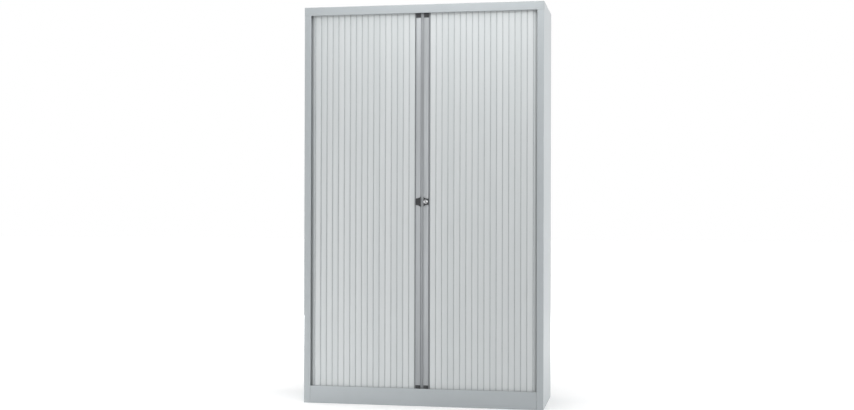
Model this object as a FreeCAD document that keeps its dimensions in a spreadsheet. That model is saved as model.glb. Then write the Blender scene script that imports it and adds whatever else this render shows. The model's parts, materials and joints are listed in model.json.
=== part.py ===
import FreeCAD, Part
import math
import os
import re
import Sketcher

# Side-opening roll front cabinet in sheet steel, with two slatted shutters.
# X runs to the right, Y to the back and Z up. The origin is on the floor, at the
# middle of the cabinet's width and depth. All sizes are in millimetres.

SIZES = {
    # Carcass
    "cabinet_width": 1200,
    "cabinet_depth": 430,
    "cabinet_height": 1980,
    "sheet_gauge": 0.8,
    "bend_radius": 1.0,
    "fit_gap": 0.3,
    "cut_overrun": 2,
    "stile_width": 33,
    "stile_return": 8,
    "rear_return": 20,
    "fascia_height": 42,
    "plinth_height": 86,
    "plinth_ledge": 8,
    "plinth_foot": 20,
    # Decks that carry the guide tracks, below and above
    "lower_deck_height": 65,
    "upper_deck_drop": 27,
    "deck_flange": 20,
    "rail_width": 60,
    "rail_brim": 15,
    # Guide tracks
    "slat_recess": 15,
    "track_bend_radius": 42,
    "curtain_side_gap": 13,
    "curtain_rear_gap": 18,
    "track_width": 12,
    "track_height": 12,
    "groove_width": 7,
    "groove_depth": 9,
    "track_rear_run": 130,
    "track_joint": 0.4,
    # Slats, with a bead on one edge that hooks into the next slat's socket
    "slat_pitch": 30,
    "slat_thickness": 5.5,
    "slat_wall": 0.9,
    "slat_end_gap": 1,
    "edge_chamfer": 0.8,
    "neck_thickness": 0.9,
    "neck_length": 3,
    "bead_radius": 1.2,
    "bead_clearance": 0.35,
    "socket_wall": 0.8,
    "lip_angle": 160,
    "hook_angle": 242,
    "glide_length": 10,
    "glide_thickness": 3,
    "glide_offset": 1.4,
    "glide_reach": 8,
    # Handle bars at the leading edges
    "handle_proud": 4,
    "handle_depth": 16,
    "handle_wall": 1.5,
    "meeting_gap": 1,
    "meeting_lip": 2,
    "meeting_lip_step": 1,
    "inner_groove": 5,
    "groove_floor_depth": 6.5,
    "handle_face": 24.5,
    "outer_groove": 5,
    "handle_flange": 1,
    "cap_height": 24,
    "cap_plate": 1.5,
    "cap_tongue": 4,
    "cap_plug": 14,
    # Finger pull and lock plate
    "pull_height": 1007,
    "pull_tall": 48,
    "pull_waist": 33,
    "pull_thickness": 4,
    "pull_rim": 3,
    "pull_dish": 2.5,
    # Cam lock
    "lock_inset": 17.5,
    "lock_head_radius": 11,
    "lock_head_thickness": 2,
    "lock_body_radius": 8,
    "lock_body_clearance": 0.3,
    "lock_tail": 5,
    "plug_radius": 5.8,
    "plug_clearance": 0.25,
    "plug_proud": 0.4,
    "keyway_width": 1.6,
    "keyway_height": 7,
    "keyway_depth": 12,
    "nut_flats_radius": 10,
    "nut_thickness": 3,
    "cam_thickness": 2,
    "cam_width": 12,
    "cam_reach": 30,
    "cam_nib_width": 4,
    "cam_nib_length": 6,
    "cam_gap": 1,
    "cam_screw_radius": 4,
    "cam_screw_head": 2,
    "keep_thickness": 1.5,
    "keep_length": 22,
    "keep_height": 16,
    "keep_drop": 8,
    "keep_edge": 5.5,
    "keep_flange": 6,
    # Storage space
    "liner_gap": 10,
    "liner_front": 65,
    "liner_rear": 50,
    "liner_flange": 20,
    "inner_back_inset": 4,
    "upright_width": 30,
    "upright_depth": 12,
    "upright_inset": 7,
    "slot_width": 14,
    "slot_height": 5,
    "slot_pitch": 92.5,
    "slot_count": 19,
    "slots_per_bay": 4,
    "shelf_count": 4,
    "shelf_edge": 25,
    "shelf_return": 30,
    "shelf_front_gap": 2,
    "shelf_end_gap": 1,
    "clip_width": 12,
    "clip_thickness": 3,
    "clip_reach": 20,
    "clip_tail": 7,
    "clip_leg": 15,
    # Levelling feet
    "foot_side_inset": 40,
    "foot_end_inset": 35,
    "pad_radius": 22,
    "pad_thickness": 8,
    "spindle_radius": 5,
    "spindle_top": 58,
    "foot_nut_width": 24,
    "foot_nut_height": 14,
    "foot_nut_clearance": 0.3,
    "access_hole": 13,
}

doc = FreeCAD.newDocument("RollFrontCabinet")
sheet = doc.addObject("Spreadsheet::Sheet", "Sizes")
for row, (name, size) in enumerate(SIZES.items(), start=1):
    sheet.set(f"A{row}", name)
    sheet.set(f"B{row}", str(size))
    sheet.setAlias(f"B{row}", name)
doc.recompute()

ALIAS = re.compile(r"\b(" + "|".join(sorted(SIZES, key=len, reverse=True)) + r")\b")


# Formulas in the names of the sheet

def value(formula):
    """The number that a formula of named sizes gives."""
    return float(sheet.evalExpression(formula))


def bound(formula):
    """The same formula, as an object of the document refers to the sheet."""
    return ALIAS.sub(r"Sizes.\1", formula)


def point(x, y):
    return FreeCAD.Vector(value(x), value(y), 0)


half = "cabinet_width / 2"
front = "-cabinet_depth / 2"
rear = "cabinet_depth / 2"
top = "cabinet_height"
fascia_low = "(cabinet_height - fascia_height)"

# The path of the curtain's middle line, seen from above, on the right-hand side
path_front = f"({front} + slat_recess + slat_thickness / 2)"
path_side = f"({half} - curtain_side_gap)"
path_rear = f"({rear} - curtain_rear_gap)"
corner_x = f"({path_side} - track_bend_radius)"
front_corner_y = f"({path_front} + track_bend_radius)"
rear_corner_y = f"({path_rear} - track_bend_radius)"

# Levels
lower_deck = "lower_deck_height"
track_top = "(lower_deck_height + track_height)"
upper_deck = "(cabinet_height - upper_deck_drop)"
track_low = "(cabinet_height - upper_deck_drop - track_height)"
slat_low = f"({track_top} + slat_end_gap)"
slat_high = f"({track_low} - slat_end_gap)"
slat_length = f"({slat_high} - {slat_low})"
bay_height = f"({track_low} - {track_top})"

# The inside of the handle bars, from the meeting edge outwards
handle_front = f"({front} + slat_recess - handle_proud)"
handle_back = f"({handle_front} + handle_depth)"
lip_end = "(meeting_gap / 2 + meeting_lip)"
face_start = f"({lip_end} + inner_groove)"
face_end = f"({face_start} + handle_face)"
flange_start = f"({face_end} + outer_groove)"
flange_end = f"({flange_start} + handle_flange)"
first_hinge = f"({flange_end} + neck_length)"

bodies = {}


# Bodies, outlines and features

def origin_feature(body, role):
    return next(item for item in body.Origin.OriginFeatures if item.Role == role)


def new_body(label):
    body = doc.addObject("PartDesign::Body", "Body")
    body.Label = label
    return body


def pin(view, element, end, x, y):
    """Ties one point of an outline to the sizes."""
    for kind, formula in (("DistanceX", x), ("DistanceY", y)):
        row = view.addConstraint(Sketcher.Constraint(kind, -1, 1, element, end, value(formula)))
        view.setExpression(f"Constraints[{row}]", bound(formula))


def add_loop(view, corners):
    """A closed loop of corners (x, y), or (x, y, mid x, mid y) where an arc comes in."""
    places = [point(corner[0], corner[1]) for corner in corners]
    first = len(view.Geometry)
    edges = []
    for index, corner in enumerate(corners):
        if len(corner) == 2:
            edges.append(Part.LineSegment(places[index - 1], places[index]))
        else:
            middle = point(corner[2], corner[3])
            ends = [places[index - 1], places[index]]
            # An arc of a sketch always runs counter-clockwise.
            if (middle - ends[0]).cross(ends[1] - middle).z < 0:
                ends.reverse()
            edges.append(Part.Arc(ends[0], middle, ends[1]))
    view.addGeometry(edges, False)
    sides = []
    for index in range(len(corners)):
        edge = view.Geometry[first + index]
        start_gap = (edge.StartPoint - places[index - 1]).Length
        end_gap = (edge.EndPoint - places[index - 1]).Length
        sides.append((1, 2) if start_gap < end_gap else (2, 1))
    for index, corner in enumerate(corners):
        following = (index + 1) % len(corners)
        view.addConstraint(Sketcher.Constraint(
            "Coincident", first + index, sides[index][1], first + following, sides[following][0]))
        pin(view, first + index, sides[index][1], corner[0], corner[1])
        if len(corner) == 4:
            marker = view.addGeometry(Part.Point(point(corner[2], corner[3])), True)
            view.addConstraint(Sketcher.Constraint("PointOnObject", marker, 1, first + index))
            pin(view, marker, 1, corner[2], corner[3])


def outline(body, plane, start, *loops):
    """A sketch on an origin plane, moved along the plane's axis to the place start."""
    view = body.newObject("Sketcher::SketchObject", "Outline")
    view.AttachmentSupport = (origin_feature(body, plane + "_Plane"), [""])
    view.MapMode = "FlatFace"
    offset = f"-({start})" if plane == "XZ" else start
    view.setExpression("AttachmentOffset.Base.z", bound(offset))
    for loop in loops:
        add_loop(view, loop)
    return view


def pad(body, plane, start, length, *loops):
    """Material from start along X (plane YZ), along Z (XY) or towards the front (XZ)."""
    feature = body.newObject("PartDesign::Pad", "Pad")
    feature.Profile = outline(body, plane, start, *loops)
    feature.setExpression("Length", bound(length))
    doc.recompute()
    return feature


def pocket(body, plane, start, length, *loops):
    """A cut that runs the same way as a pad does."""
    before = body.Shape.Volume
    feature = body.newObject("PartDesign::Pocket", "Pocket")
    feature.Profile = outline(body, plane, start, *loops)
    feature.Reversed = True
    feature.setExpression("Length", bound(length))
    doc.recompute()
    if body.Shape.Volume >= before:
        raise RuntimeError(f"a pocket cuts nothing from {body.Label}")
    return feature


def turned(body, *loops):
    """A solid turned round the sketch's upright axis, from half an outline."""
    feature = body.newObject("PartDesign::Revolution", "Revolution")
    feature.Profile = outline(body, "XZ", "0", *loops)
    feature.ReferenceAxis = (feature.Profile[0], ["V_Axis"])
    doc.recompute()
    return feature


def keep(body, label=None):
    """Lists a sub-part that is one node of the cabinet."""
    if label:
        body.Label = label
    bodies[body.Label] = body
    return body


def place(body, x, y, z):
    for axis, formula in zip("xyz", (x, y, z)):
        body.setExpression(f"Placement.Base.{axis}", bound(formula))
    return body


def mirrored(source, label, normal=(1, 0, 0), height=None):
    """A sub-part's opposite hand, on the far side of the cabinet's middle."""
    copy = doc.addObject("Part::Mirroring", "Mirrored")
    copy.Source = source
    copy.Normal = FreeCAD.Vector(*normal)
    if height:
        copy.setExpression("Base.z", bound(height))
    doc.recompute()
    return keep(copy, label)


def group(label, shapes):
    """Separate solids that repeat one piece, kept as one node."""
    feature = doc.addObject("Part::Feature", "Group")
    feature.Shape = Part.makeCompound(shapes)
    return keep(feature, label)


def rectangle(x0, y0, x1, y1):
    return [(x0, y0), (x1, y0), (x1, y1), (x0, y1)]


def circle(x, y, radius):
    """A full circle as two half arcs."""
    return [
        (f"{x} + {radius}", y, x, f"{y} - {radius}"),
        (f"{x} - {radius}", y, x, f"{y} + {radius}"),
    ]


def many_sided(x, y, radius, sides):
    """A regular outline whose flats are at the radius from its middle."""
    corners = []
    for step in range(sides):
        reach = f"{radius} / cos({180 / sides} deg)"
        angle = f"{step * 360 / sides} deg"
        corners.append((f"{x} + {reach} * cos({angle})", f"{y} + {reach} * sin({angle})"))
    return corners


def folded(*corners, inside=1, sharp=()):
    """The section of a folded sheet with one face along the corners.

    The sheet lies to the left of the walk for inside=1 and to the right for -1. Every
    fold is rounded, except those at the corners whose numbers are listed in sharp.
    """
    places = [point(x, y) for x, y in corners]
    runs = [(b - a).normalize() for a, b in zip(places, places[1:])]

    def shifted(index, across):
        """Corner moved by the sheet's thickness across each run that meets there."""
        x, y = corners[index]
        sides = {tuple(runs[i]) for i in (index - 1, index) if 0 <= i < len(runs)}
        for run in sides:
            x += f" + {-run[1] * inside * across:.0f} * sheet_gauge"
            y += f" + {run[0] * inside * across:.0f} * sheet_gauge"
        return x, y

    def fold(index, across, walk):
        """The two ends and the middle of the arc at a fold, or its sharp corner."""
        x, y = shifted(index, across)
        if index in sharp:
            return [(x, y)]
        turn = runs[index - 1].x * runs[index].y - runs[index - 1].y * runs[index].x
        outside = (turn * inside > 0) == (across == 0)
        radius = "(bend_radius + sheet_gauge)" if outside else "bend_radius"
        arrive, leave = runs[index - 1] * -1, runs[index]
        if walk < 0:
            arrive, leave = leave, arrive
        ends = [(f"{x} + {way.x:.0f} * {radius}", f"{y} + {way.y:.0f} * {radius}") for way in (arrive, leave)]
        bow = f"{radius} * (1 - sqrt(0.5))"
        both = arrive + leave
        middle = (f"{x} + {both.x:.0f} * {bow}", f"{y} + {both.y:.0f} * {bow}")
        return [ends[0], ends[1] + middle]

    last = len(corners) - 1
    loop = [shifted(0, 0)]
    for index in range(1, last):
        loop += fold(index, 0, 1)
    loop += [shifted(last, 0), shifted(last, 1)]
    for index in range(last - 1, 0, -1):
        loop += fold(index, 1, -1)
    loop.append(shifted(0, 1))
    return loop


# Carcass: side panels, top, plinth and back

def side_panel():
    """One folded sheet: stile with its return in front, the side, and a rear return."""
    body = new_body("right_side_panel")
    stile = f"{half} - stile_width"
    pad(body, "XY", "0", "cabinet_height - sheet_gauge - fit_gap", folded(
        (stile, f"{front} + stile_return"), (stile, front), (half, front), (half, rear),
        (f"{half} - rear_return", rear), sharp=(3,)))
    # The fascia runs over the stile, and the top's rear flange over the rear return.
    pocket(body, "XY", fascia_low, "fascia_height", rectangle(
        f"{stile} - cut_overrun", f"{front} - cut_overrun",
        f"{half} + cut_overrun", f"{front} + stile_return + fit_gap"))
    pocket(body, "XY", "cabinet_height - deck_flange - fit_gap", "deck_flange", rectangle(
        f"{half} - rear_return - cut_overrun", f"{rear} - sheet_gauge - fit_gap",
        f"{half} + cut_overrun", f"{rear} + cut_overrun"))
    keep(body)
    mirrored(body, "left_side_panel")


def top_panel():
    """The lid: fascia with a return below, flat top and rear flange."""
    body = new_body("top_panel")
    pad(body, "YZ", f"-{half}", "cabinet_width", folded(
        (f"{front} + stile_return", fascia_low), (front, fascia_low), (front, top),
        (rear, top), (rear, f"{top} - deck_flange"), inside=-1, sharp=(3,)))
    keep(body)


def plinth():
    """The kick plate between the stiles, folded back at the floor and at its top edge."""
    body = new_body("plinth")
    ledge = f"{front} + plinth_ledge"
    pad(body, "YZ", f"-({half} - stile_width - fit_gap)", "cabinet_width - 2 * (stile_width + fit_gap)",
        folded((f"{front} + plinth_foot", "0"), (front, "0"), (front, "plinth_height"),
               (ledge, "plinth_height"), (ledge, f"{lower_deck} + fit_gap"), inside=-1, sharp=(1,)))
    keep(body)


def back_panel():
    """A flat sheet inside the rear returns."""
    body = new_body("back_panel")
    side = f"({half} - sheet_gauge - bend_radius - fit_gap)"
    pad(body, "XY", "sheet_gauge", "cabinet_height - 2 * sheet_gauge - bend_radius - fit_gap", rectangle(
        f"-{side}", f"{rear} - 2 * sheet_gauge", side, f"{rear} - sheet_gauge"))
    keep(body)


deck_side = f"({half} - sheet_gauge - fit_gap)"
deck_front = f"({front} + plinth_ledge + fit_gap)"
deck_rear = f"({rear} - 2 * sheet_gauge - fit_gap)"


def foot_places():
    """The four feet, as (name, x, y)."""
    side = f"({half} - foot_side_inset)"
    near = f"({deck_front} + foot_end_inset)"
    far = f"({deck_rear} - foot_end_inset)"
    return [
        ("front_left", f"-{side}", near), ("front_right", side, near),
        ("rear_left", f"-{side}", far), ("rear_right", side, far),
    ]


def deck(label, flange_low, sheet_low):
    """A tray whose sheet carries a set of tracks and whose flanges turn away from them."""
    body = new_body(label)
    pad(body, "XY", flange_low, "deck_flange", rectangle(
        f"-{deck_side}", deck_front, deck_side, deck_rear))
    hollow = f"{sheet_low} + sheet_gauge" if flange_low == sheet_low else flange_low
    pocket(body, "XY", hollow, "deck_flange - sheet_gauge", rectangle(
        f"-{deck_side} + sheet_gauge", f"{deck_front} + sheet_gauge",
        f"{deck_side} - sheet_gauge", f"{deck_rear} - sheet_gauge"))
    return keep(body)


def decks():
    lower = deck("base_panel", f"{lower_deck} - deck_flange", f"{lower_deck} - sheet_gauge")
    reach = "access_hole / 2"
    holes = [rectangle(f"{x} - {reach}", f"{y} - {reach}", f"{x} + {reach}", f"{y} + {reach}")
             for _, x, y in foot_places()]
    pocket(lower, "XY", f"{lower_deck} - sheet_gauge - cut_overrun", "sheet_gauge + 2 * cut_overrun", *holes)
    deck("upper_deck", upper_deck, upper_deck)


def stiffening_rail(label, brim, crown, inside):
    """A top-hat rail across the depth, with its brims on the deck it stiffens."""
    body = new_body(label)
    edge = "rail_width / 2"
    pad(body, "XZ", f"{deck_rear} - sheet_gauge - fit_gap",
        f"{deck_rear} - {deck_front} - 2 * (sheet_gauge + fit_gap)",
        folded((f"-{edge} - rail_brim", brim), (f"-{edge}", brim), (f"-{edge}", crown),
               (edge, crown), (edge, brim), (f"{edge} + rail_brim", brim),
               inside=inside, sharp=(1, 2, 3, 4)))
    keep(body)


def rails():
    under = f"({lower_deck} - sheet_gauge)"
    stiffening_rail("base_rail", under, f"{under} - deck_flange", -1)
    over = f"({upper_deck} + sheet_gauge)"
    stiffening_rail("top_rail", over, "cabinet_height - 2 * sheet_gauge", 1)


# Guide tracks

def track_loop(offset):
    """The right-hand track's path moved outwards, from the middle to the rear run's end."""
    radius = f"(track_bend_radius + {offset})"
    bow = f"{radius} * sqrt(0.5)"
    return [
        ("track_joint / 2", f"{path_front} - {offset}"),
        (corner_x, f"{path_front} - {offset}"),
        (f"{path_side} + {offset}", front_corner_y, f"{corner_x} + {bow}", f"{front_corner_y} - {bow}"),
        (f"{path_side} + {offset}", rear_corner_y),
        (corner_x, f"{path_rear} + {offset}", f"{corner_x} + {bow}", f"{rear_corner_y} + {bow}"),
        (f"{corner_x} - track_rear_run", f"{path_rear} + {offset}"),
    ]


def back_along(path):
    """The same path walked the other way, with each arc's middle kept on its run."""
    ends = [corner[:2] for corner in path]
    middles = [corner[2:] for corner in path[1:]] + [()]
    return [end + middle for end, middle in zip(ends, middles)][::-1]


def track_band(half_width):
    return track_loop(half_width) + back_along(track_loop(f"(-{half_width})"))


def guide_track():
    """A moulded channel that leads the slats along the front, side and back."""
    body = new_body("lower_track_right")
    pad(body, "XY", lower_deck, "track_height", track_band("track_width / 2"))
    pocket(body, "XY", f"{track_top} - groove_depth", "groove_depth + cut_overrun",
           track_band("groove_width / 2"))
    keep(body)
    mirrored(body, "lower_track_left")
    middle = f"({lower_deck} + {upper_deck}) / 2"
    upper = mirrored(body, "upper_track_right", (0, 0, 1), middle)
    mirrored(upper, "upper_track_left")


# Storage space inside the tracks

def cut_floor(margin):
    """The area inside the tracks with its corners cut off, smaller by the margin."""
    side = f"({path_side} - track_width / 2 - {margin})"
    near = f"({path_front} + track_width / 2 + {margin})"
    far = f"({path_rear} - track_width / 2 - {margin})"
    return [
        (f"-{corner_x}", near), (corner_x, near), (side, front_corner_y), (side, rear_corner_y),
        (corner_x, far), (f"-{corner_x}", far), (f"-{side}", rear_corner_y), (f"-{side}", front_corner_y),
    ]


def floor_and_ceiling():
    """Shallow trays that fill the loop of the tracks, level with them."""
    body = new_body("floor_panel")
    pad(body, "XY", lower_deck, "track_height", cut_floor("fit_gap"))
    pocket(body, "XY", f"{lower_deck} - cut_overrun", "track_height - sheet_gauge + cut_overrun",
           cut_floor("(fit_gap + sheet_gauge)"))
    keep(body)
    mirrored(body, "ceiling_panel", (0, 0, 1), f"({lower_deck} + {upper_deck}) / 2")


liner_face = f"({path_side} - slat_thickness / 2 - liner_gap)"
liner_near = f"({front} + liner_front)"
liner_far = f"({rear} - liner_rear)"


def liners():
    """Sheets that part the rolled-back curtain from the shelves."""
    body = new_body("right_liner")
    inner = f"{liner_face} - liner_flange"
    pad(body, "XY", track_top, bay_height, folded(
        (inner, liner_near), (liner_face, liner_near), (liner_face, liner_far), (inner, liner_far),
        sharp=(1, 2)))
    keep(body)
    mirrored(body, "left_liner")
    back = new_body("inner_back")
    side = f"({liner_face} - inner_back_inset)"
    pad(back, "XY", track_top, bay_height, rectangle(
        f"-{side}", liner_far, side, f"{liner_far} + sheet_gauge"))
    keep(back)


upright_root = f"({liner_face} - sheet_gauge)"
upright_face = f"({upright_root} - upright_depth)"
first_slot = f"({track_top} + slot_pitch)"


def uprights():
    """Channels with rows of slots for the shelf clips."""
    middles = {
        "front": f"({liner_near} + upright_inset + upright_width / 2)",
        "rear": f"({liner_far} - upright_inset - upright_width / 2)",
    }
    for name, middle in middles.items():
        body = new_body(f"right_{name}_upright")
        near = f"{middle} - upright_width / 2"
        far = f"{middle} + upright_width / 2"
        pad(body, "XY", track_top, bay_height, folded(
            (upright_root, far), (upright_face, far), (upright_face, near), (upright_root, near),
            sharp=(1, 2)))
        slot = pocket(body, "XY", f"{first_slot} - slot_height / 2", "slot_height", rectangle(
            f"{upright_face} - cut_overrun", f"{middle} - slot_width / 2",
            f"{upright_face} + sheet_gauge + cut_overrun", f"{middle} + slot_width / 2"))
        row = body.newObject("PartDesign::LinearPattern", "Slots")
        row.Originals = [slot]
        row.Direction = (origin_feature(body, "Z_Axis"), [""])
        row.setExpression("Length", bound("(slot_count - 1) * slot_pitch"))
        row.setExpression("Occurrences", bound("slot_count"))
        body.Tip = row
        keep(body)
        mirrored(body, f"left_{name}_upright")
    return middles


def clip_top(number):
    """The height of a shelf clip's upper face, in slot number counts of a bay."""
    return f"({first_slot} + ({number} * slots_per_bay - 1) * slot_pitch + clip_thickness / 2)"


def shelf_clip(x, y, z):
    """A hook with a tongue through the slot and a leg down the upright's face."""
    face = f"{upright_face} - fit_gap"
    body = new_body("clip")
    under = "-clip_thickness"
    pad(body, "XZ", "clip_width / 2", "clip_width", [
        (f"{face} - clip_reach", under), (f"{face} - clip_thickness", under),
        (f"{face} - clip_thickness", "-clip_leg"), (face, "-clip_leg"), (face, under),
        (f"{face} + clip_tail", under), (f"{face} + clip_tail", "0"), (f"{face} - clip_reach", "0")])
    return place(body, x, y, z)


def shelves(middles):
    """Folded trays on four clips each."""
    count = int(value("shelf_count"))
    near = f"({liner_near} + sheet_gauge + shelf_front_gap)"
    far = f"({liner_far} - sheet_gauge - shelf_front_gap)"
    end = f"({upright_face} - shelf_end_gap)"
    clips = []
    for number in range(1, count + 1):
        low = clip_top(number)
        high = f"{low} + shelf_edge"
        body = new_body(f"shelf_{number}")
        pad(body, "YZ", f"-{end}", f"2 * {end}", folded(
            (f"{near} + shelf_return", low), (near, low), (near, high),
            (far, high), (far, low), (f"{far} - shelf_return", low), inside=-1, sharp=(1, 3, 4)))
        keep(body)
        for middle in middles.values():
            clip = shelf_clip("0", middle, low)
            doc.recompute()
            clips.append(clip.Shape.copy())
            clips.append(clip.Shape.mirror(FreeCAD.Vector(), FreeCAD.Vector(1, 0, 0)))
            doc.removeObject(clip.Name)
    group("shelf_clips", clips)


# Curtains of slats

socket_radius = "(bead_radius + bead_clearance)"
skin = "slat_thickness / 2"
BEAD_ANGLES = (90, 0, -90)
SOCKET_SHARES = (0, 0.25, 0.5, 0.75, 1)


def bead(hinge_x, hinge_y):
    """The bead at a hinge, from its neck's upper side round to the lower side."""
    points = []
    for angle in BEAD_ANGLES:
        points.append((f"{hinge_x} + bead_radius * cos({angle} deg)",
                       f"{hinge_y} + bead_radius * sin({angle} deg)"))
    reach = f"{hinge_x} - sqrt(bead_radius^2 - (neck_thickness / 2)^2)"
    return ([(reach, f"{hinge_y} + neck_thickness / 2")] + points
            + [(reach, f"{hinge_y} - neck_thickness / 2")])


def socket():
    """The socket's inner wall, from the hook's tip at the rear to the lip at the face."""
    points = []
    for share in SOCKET_SHARES:
        angle = f"((hook_angle - 360) * {1 - share} + lip_angle * {share}) * 1 deg"
        points.append((f"{socket_radius} * cos({angle})", f"{socket_radius} * sin({angle})"))
    return points


def slat_section():
    """Slat seen from above: hinge centre at the origin, next hinge one pitch along X."""
    outer = f"({socket_radius} + socket_wall)"
    hook = "hook_angle * 1 deg"
    lip_x = f"({outer} * cos(lip_angle * 1 deg))"
    body_end = "(slat_pitch - neck_length)"
    loop = [(f"{outer} * cos({hook})", f"{outer} * sin({hook})")] + socket() + [
        (lip_x, f"{outer} * sin(lip_angle * 1 deg)"),
        (lip_x, f"{skin} - edge_chamfer"),
        (f"{lip_x} + edge_chamfer", skin),
        (f"{body_end} - edge_chamfer", skin),
        (body_end, f"{skin} - edge_chamfer"),
        (body_end, "neck_thickness / 2"),
    ] + bead("slat_pitch", "0") + [
        (body_end, "-neck_thickness / 2"),
        (body_end, f"-{skin} + edge_chamfer"),
        (f"{body_end} - edge_chamfer", f"-{skin}"),
        ("0", f"-{skin}"),
    ]
    hollow = rectangle(f"{socket_radius} + slat_wall", f"slat_wall - {skin}",
                       f"{body_end} - slat_wall", f"{skin} - slat_wall")
    body = new_body("slat")
    pad(body, "XY", slat_low, slat_length, loop, hollow)
    return body


def glide():
    """A slat's end runner: a tongue that reaches into the groove, near the outer side."""
    body = new_body("glide")
    middle = "slat_pitch / 2"
    tip = "glide_length / 2"
    near = "(glide_offset - glide_thickness / 2)"
    far = "(glide_offset + glide_thickness / 2)"
    pad(body, "XY", f"{slat_low} - glide_reach", "glide_reach",
        rectangle(f"{middle} - {tip}", near, f"{middle} + {tip}", far))
    return body


def hinge_points():
    """Hinge centres along the right-hand path: the front, the corner, then the side."""
    pitch = value("slat_pitch")
    radius = value("track_bend_radius")
    centre = FreeCAD.Vector(value(corner_x), value(front_corner_y), 0)
    here = FreeCAD.Vector(value(first_hinge), value(path_front), 0)
    points = [here]
    while here.x + pitch <= centre.x:
        here = here + FreeCAD.Vector(pitch, 0, 0)
        points.append(here)
    # The hinge that passes onto the arc lies on it, one pitch from the last one.
    reach = here - centre
    bearing = math.atan2(reach.y, reach.x)
    spread = reach.Length
    swing = math.acos((radius ** 2 + spread ** 2 - pitch ** 2) / (2 * radius * spread))
    angle = bearing + swing
    chord_turn = 2 * math.asin(pitch / (2 * radius))
    while angle <= 0:
        here = centre + FreeCAD.Vector(math.cos(angle), math.sin(angle), 0) * radius
        points.append(here)
        angle += chord_turn
    # Along the side, a whole pitch apart again.
    run = centre.x + radius - here.x
    here = FreeCAD.Vector(centre.x + radius, here.y + math.sqrt(pitch ** 2 - run ** 2), 0)
    points.append(here)
    points.append(here + FreeCAD.Vector(0, pitch, 0))
    return points


def curtains():
    """Both curtains, each a row of slats hooked together, with a glide at each slat end."""
    slat = slat_section()
    tongue = glide()
    doc.recompute()
    middle = value(f"({slat_low} + {slat_high}) / 2")
    points = hinge_points()
    slats, glides = [], []
    for start, end in zip(points, points[1:]):
        run = end - start
        turn = FreeCAD.Rotation(FreeCAD.Vector(0, 0, 1), math.degrees(math.atan2(run.y, run.x)))
        spot = FreeCAD.Placement(start, turn)
        for source, pieces in ((slat, slats), (tongue, glides)):
            # The outer side of the path is the front, so the section is turned over.
            piece = source.Shape.mirror(FreeCAD.Vector(), FreeCAD.Vector(0, 1, 0))
            piece.Placement = spot.multiply(piece.Placement)
            pieces.append(piece)
    low_glides = list(glides)
    for low in low_glides:
        glides.append(low.mirror(FreeCAD.Vector(0, 0, middle), FreeCAD.Vector(0, 0, 1)))
    across = (FreeCAD.Vector(), FreeCAD.Vector(1, 0, 0))
    group("right_slats", slats)
    group("left_slats", [piece.mirror(*across) for piece in slats])
    group("right_slat_glides", glides)
    group("left_slat_glides", [piece.mirror(*across) for piece in glides])
    doc.removeObject(slat.Name)
    doc.removeObject(tongue.Name)


# Handle bars, caps, finger pull and lock

lock_height = "pull_height"


def handle_section():
    """A hollow bar: meeting lip, groove, face, groove, and a bead for the first slat."""
    lip_front = f"({handle_front} + meeting_lip_step)"
    groove_floor = f"({handle_front} + groove_floor_depth)"
    loop = [
        ("meeting_gap / 2", handle_back),
        ("meeting_gap / 2", lip_front),
        (lip_end, lip_front),
        (lip_end, groove_floor),
        (face_start, groove_floor),
        (face_start, handle_front),
        (face_end, handle_front),
        (face_end, groove_floor),
        (flange_start, groove_floor),
        (flange_start, f"{path_front} - {skin} + edge_chamfer"),
        (flange_end, f"{path_front} - {skin} + edge_chamfer"),
        (flange_end, f"{path_front} - neck_thickness / 2"),
    ] + bead(first_hinge, path_front)[::-1] + [
        (flange_end, f"{path_front} + neck_thickness / 2"),
        (flange_end, handle_back),
    ]
    wall = "handle_wall"
    hollow = [
        (f"meeting_gap / 2 + {wall}", f"{handle_back} - {wall}"),
        (f"meeting_gap / 2 + {wall}", f"{groove_floor} + {wall}"),
        (f"{face_start} + {wall}", f"{groove_floor} + {wall}"),
        (f"{face_start} + {wall}", f"{handle_front} + {wall}"),
        (f"{face_end} - {wall}", f"{handle_front} + {wall}"),
        (f"{face_end} - {wall}", f"{groove_floor} + {wall}"),
        (f"{flange_end} - {wall}", f"{groove_floor} + {wall}"),
        (f"{flange_end} - {wall}", f"{handle_back} - {wall}"),
    ]
    return loop, hollow


def handles():
    plain = new_body("left_handle_bar_half")
    loop, hollow = handle_section()
    pad(plain, "XY", slat_low, slat_length, loop, hollow)
    mirrored(plain, "left_handle_bar")
    body = new_body("right_handle_bar")
    pad(body, "XY", slat_low, slat_length, loop, hollow)
    pocket(body, "XZ", f"{handle_back} + cut_overrun", "handle_depth + 2 * cut_overrun",
           circle("lock_inset", lock_height, "(lock_body_radius + lock_body_clearance)"))
    keep(body)


def end_cap():
    """A moulded cap: plate on the bar's face, plug in its hollow, tongue in the groove."""
    body = new_body("right_lower_cap")
    pad(body, "XY", slat_low, "cap_height", rectangle(
        face_start, f"{handle_front} - cap_plate", face_end, handle_front))
    margin = "(handle_wall + fit_gap)"
    pad(body, "XY", f"{slat_low} - slat_end_gap / 2", "slat_end_gap / 2", rectangle(
        face_start, f"{handle_front} - cap_plate", face_end, f"{handle_back} - {margin}"))
    pad(body, "XY", slat_low, "cap_plug", rectangle(
        f"{face_start} + {margin}", f"{handle_front} + {margin}",
        f"{face_end} - {margin}", f"{handle_back} - {margin}"))
    pad(body, "XY", f"{slat_low} - glide_reach", "glide_reach - slat_end_gap / 2", rectangle(
        face_start, f"{path_front} - cap_tongue / 2", face_end, f"{path_front} + cap_tongue / 2"))
    keep(body)
    middle = f"({slat_low} + {slat_high}) / 2"
    mirrored(body, "left_lower_cap")
    upper = mirrored(body, "right_upper_cap", (0, 0, 1), middle)
    mirrored(upper, "left_upper_cap")


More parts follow.
